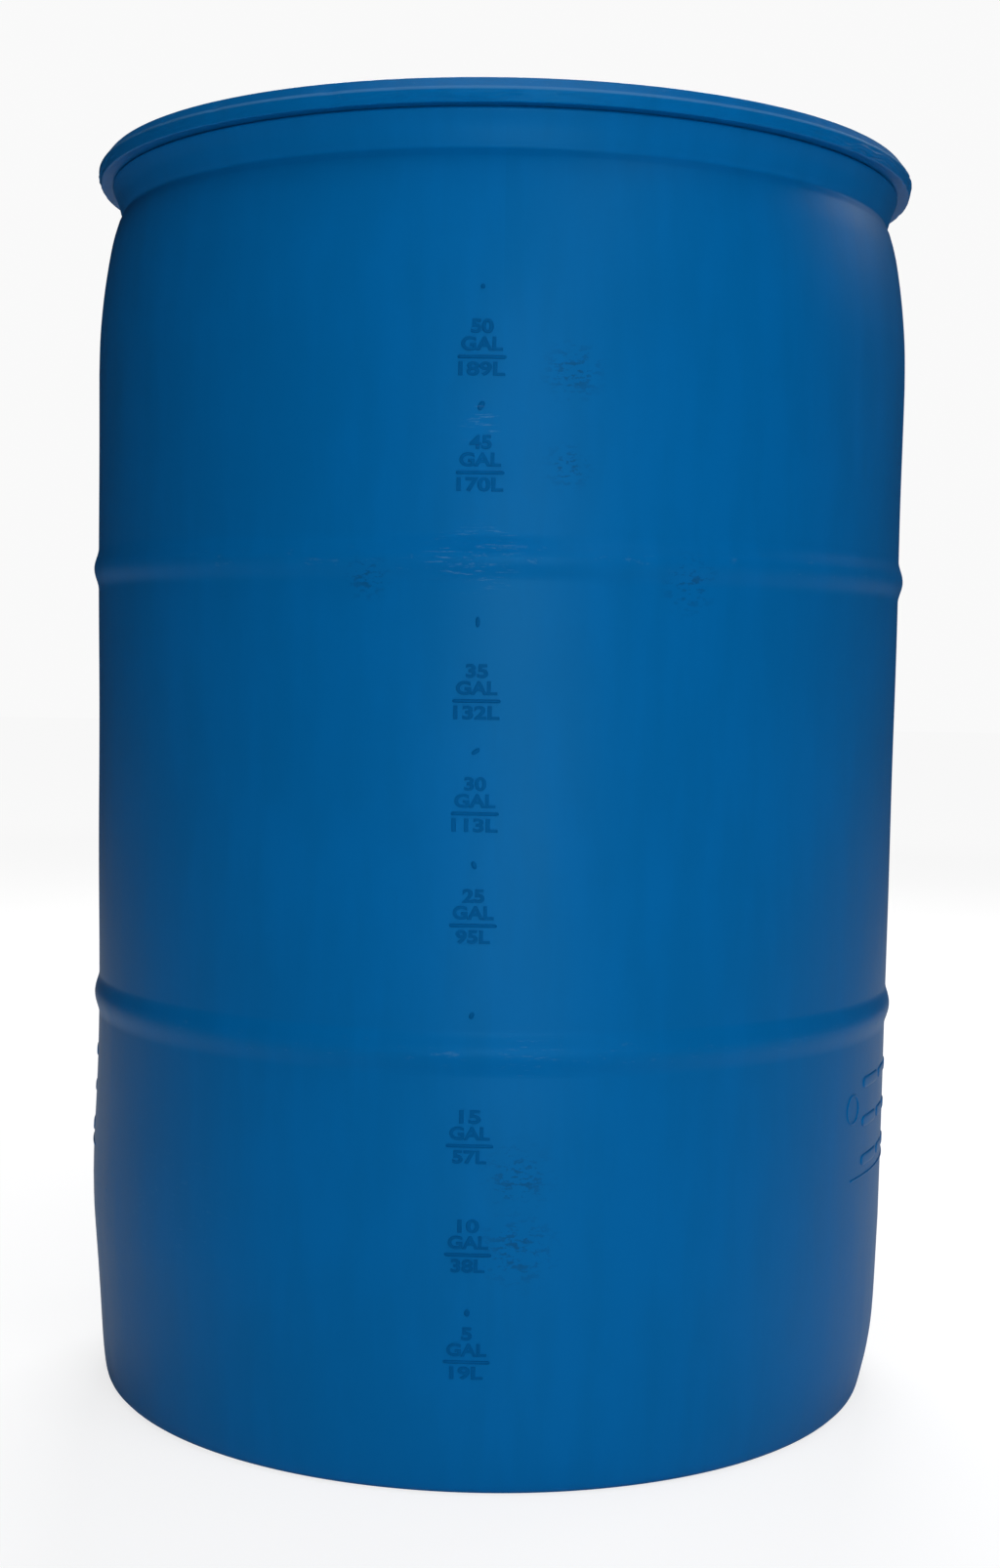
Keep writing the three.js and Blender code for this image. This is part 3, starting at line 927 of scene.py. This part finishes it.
def reducer_plug():
    x = BUNG_X["fine"]
    skin = Skin()
    thread_low, thread_high = cut_thread(skin, "reducer", REDUCER_FOOT + 0.8, SEAT - 0.4, x)
    foot_outline = [(5, REDUCER_FOOT), (11, REDUCER_FOOT), (11.6, REDUCER_FOOT + 0.3)]
    below = turn_up(skin, foot_outline, x, last=thread_low)
    skin.fan(below[0], (x, 0, REDUCER_FOOT), flip=True)
    above = turn_up(skin, rounded([(11.8, REDUCER_LOW), (16.4, REDUCER_LOW), (16.4, REDUCER_TOP - 1.2),
                                   (15.2, REDUCER_TOP), (13, REDUCER_TOP)], 0.5, closed=False),
                    x, first=thread_high)
    for drop, flare in ((0, 1.05), (0.4, 1.0), (SQUARE_DEPTH, 1.0)):
        above.append(skin.loop(square_hole(x, SQUARE / 2 * flare, REDUCER_TOP - drop)))
        skin.bridge(above[-2], above[-1])
    skin.fan(above[-1], (x, 0, REDUCER_TOP - SQUARE_DEPTH))
    return skin.build("reducer")


finish_piece(reducer_plug(), BLACK_PLASTIC, "reducer", "reducer", "reducer_plug")

# ---------------------------------------------------------------- gaskets
# Flat black rubber washers seal the plugs and the reducer plug. Each lies under its own flange.
def rubber():
    """Matt vulcanised rubber with a dusty bloom."""
    f = Finish("black_rubber")
    bloom = f.grain(90, 5, 0.65)
    colour = f.tint(f.ramp(bloom, 0.4, 0.75), solid_colour("171717"), solid_colour("2C2B2A"))
    f.feed(f.shader.inputs["Base Color"], colour)
    f.feed(f.shader.inputs["Roughness"], f.ramp(bloom, 0.3, 0.7, 0.62, 0.78))
    f.feed(f.shader.inputs["Normal"], f.relief(f.grain(900, 3, 0.6), 0.00004))
    return f.material


RUBBER = rubber()


def washer(name, x, inner_r, outer_r, low, high):
    skin = Skin()
    loops = turn_up(skin, rounded([(inner_r, low), (outer_r, low), (outer_r, high), (inner_r, high)], 0.4), x)
    skin.bridge(loops[-1], loops[0])
    return skin.build(name)


for kind, x, inner_r, outer_r, low, high in (
    ("fine", BUNG_X["fine"], 30.9, 36.6, NECK_TOP + 0.1, FLANGE_LOW - 0.1),
    ("coarse", BUNG_X["coarse"], 32.6, 36.8, NECK_TOP + 0.1, FLANGE_LOW - 0.1),
    ("reducer", BUNG_X["fine"], 13.6, 16.2, SEAT + 0.1, REDUCER_LOW - 0.1),
):
    finish_piece(washer(f"{kind}_gasket", x, inner_r, outer_r, low, high), RUBBER, f"{kind}_washer", "gasket",
                 f"gasket_{kind}")

# ---------------------------------------------------------------- floor, light and camera
# The drum stands on a plain pale floor under soft lamps: one low in front, three above the front and the
# right, one beside the right edge and a strong one high behind.
bpy.ops.mesh.primitive_plane_add(size=40, location=(0, 0, 0))
floor = bpy.context.object
floor.name = "floor"
floor_finish = Finish("pale_floor")
seen_directly = floor_finish.add("ShaderNodeLightPath").outputs["Is Camera Ray"]
paint = floor_finish.tint(floor_finish.grain(3, 4), solid_colour("E6E6E4"), solid_colour("EEEEEC"))
dimmed = floor_finish.tint(floor_finish.grain(3, 4), (0.30, 0.30, 0.30, 1), (0.33, 0.33, 0.33, 1))
floor_finish.feed(floor_finish.shader.inputs["Base Color"], floor_finish.tint(seen_directly, paint, dimmed))
floor_finish.shader.inputs["Roughness"].default_value = 0.9
floor_finish.shader.inputs["Specular IOR Level"].default_value = 0.1
outward = floor_finish.add("ShaderNodeVectorMath", operation="LENGTH")
floor_finish.feed(outward.inputs[0], floor_finish.place)
glow = floor_finish.ramp(outward.outputs["Value"], 0.5, 6.0, 0.76, 0.93)
floor_finish.shader.inputs["Emission Color"].default_value = (1, 1, 1, 1)
floor_finish.feed(
    floor_finish.shader.inputs["Emission Strength"], floor_finish.sum("MULTIPLY", glow, seen_directly)
)
floor.data.materials.append(floor_finish.material)
floor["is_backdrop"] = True


def lamp(name, place, aim, width, height, power):
    light = bpy.data.lights.new(name, "AREA")
    light.shape = "RECTANGLE"
    light.size, light.size_y = width, height
    light.energy = power
    thing = bpy.data.objects.new(name, light)
    thing.location = place
    thing.rotation_euler = (Vector(aim) - Vector(place)).to_track_quat("-Z", "Y").to_euler()
    scene.collection.objects.link(thing)


lamp("front_lamp", (0.25, -2.89, 0.45), (0, 0, 0.5), 0.8, 1.2, 42)
lamp("high_lamp", (1.09, -2.69, 2.2), (0, 0, 0.5), 0.8, 1.2, 15)
lamp("right_lamp", (1.5, -1.5, 3.5), (0, 0, 0.5), 0.8, 1.2, 9)
lamp("top_lamp", (0, -0.6, 3.2), (0, 0, 0.5), 1.6, 1.2, 28)
lamp("edge_lamp", (2.3, 1.5, 2.3), (0, 0, 0.6), 0.8, 1.0, 8)
lamp("back_lamp", (0.15, 2.5, 2.6), (0, 0, 0.4), 1.6, 1.2, 70)

world = bpy.data.worlds.new("studio")
scene.world = world
world.use_nodes = True
sky = world.node_tree
seen = sky.nodes["Background"]
seen.inputs["Color"].default_value = (0.95, 0.95, 0.95, 1)
seen.inputs["Strength"].default_value = 1.0
felt = sky.nodes.new("ShaderNodeBackground")
felt.inputs["Color"].default_value = (1, 1, 1, 1)
felt.inputs["Strength"].default_value = 0.02
path = sky.nodes.new("ShaderNodeLightPath")
choice = sky.nodes.new("ShaderNodeMixShader")
sky.links.new(path.outputs["Is Camera Ray"], choice.inputs[0])
sky.links.new(felt.outputs[0], choice.inputs[1])
sky.links.new(seen.outputs[0], choice.inputs[2])
sky.links.new(choice.outputs[0], sky.nodes["World Output"].inputs["Surface"])
scene.view_settings.view_transform = "Standard"

# The camera stands about 1.6 m in front of the drum's axis, above the drum's middle. It is tilted down and
# rolled by a degree.
CAMERA_PLACE = Vector((0, -1.6305, 0.5284))
TILT, TURN, ROLL = (math.radians(a) for a in (4.876, 0.15, 0.964))
ahead = Vector((math.sin(TURN) * math.cos(TILT), math.cos(TURN) * math.cos(TILT), -math.sin(TILT)))
level = Vector((math.cos(TURN), -math.sin(TURN), 0))
upright = level.cross(ahead)
right = level * math.cos(ROLL) + upright * math.sin(ROLL)
top = upright * math.cos(ROLL) - level * math.sin(ROLL)
lens = bpy.data.cameras.new("camera")
lens.sensor_width = 36
lens.lens = 49.26
lens.shift_y = 0.0454
camera = bpy.data.objects.new("camera", lens)
camera.matrix_world = Matrix.Translation(CAMERA_PLACE) @ Matrix((right, top, -ahead)).transposed().to_4x4()
scene.collection.objects.link(camera)
scene.camera = camera

low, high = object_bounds()
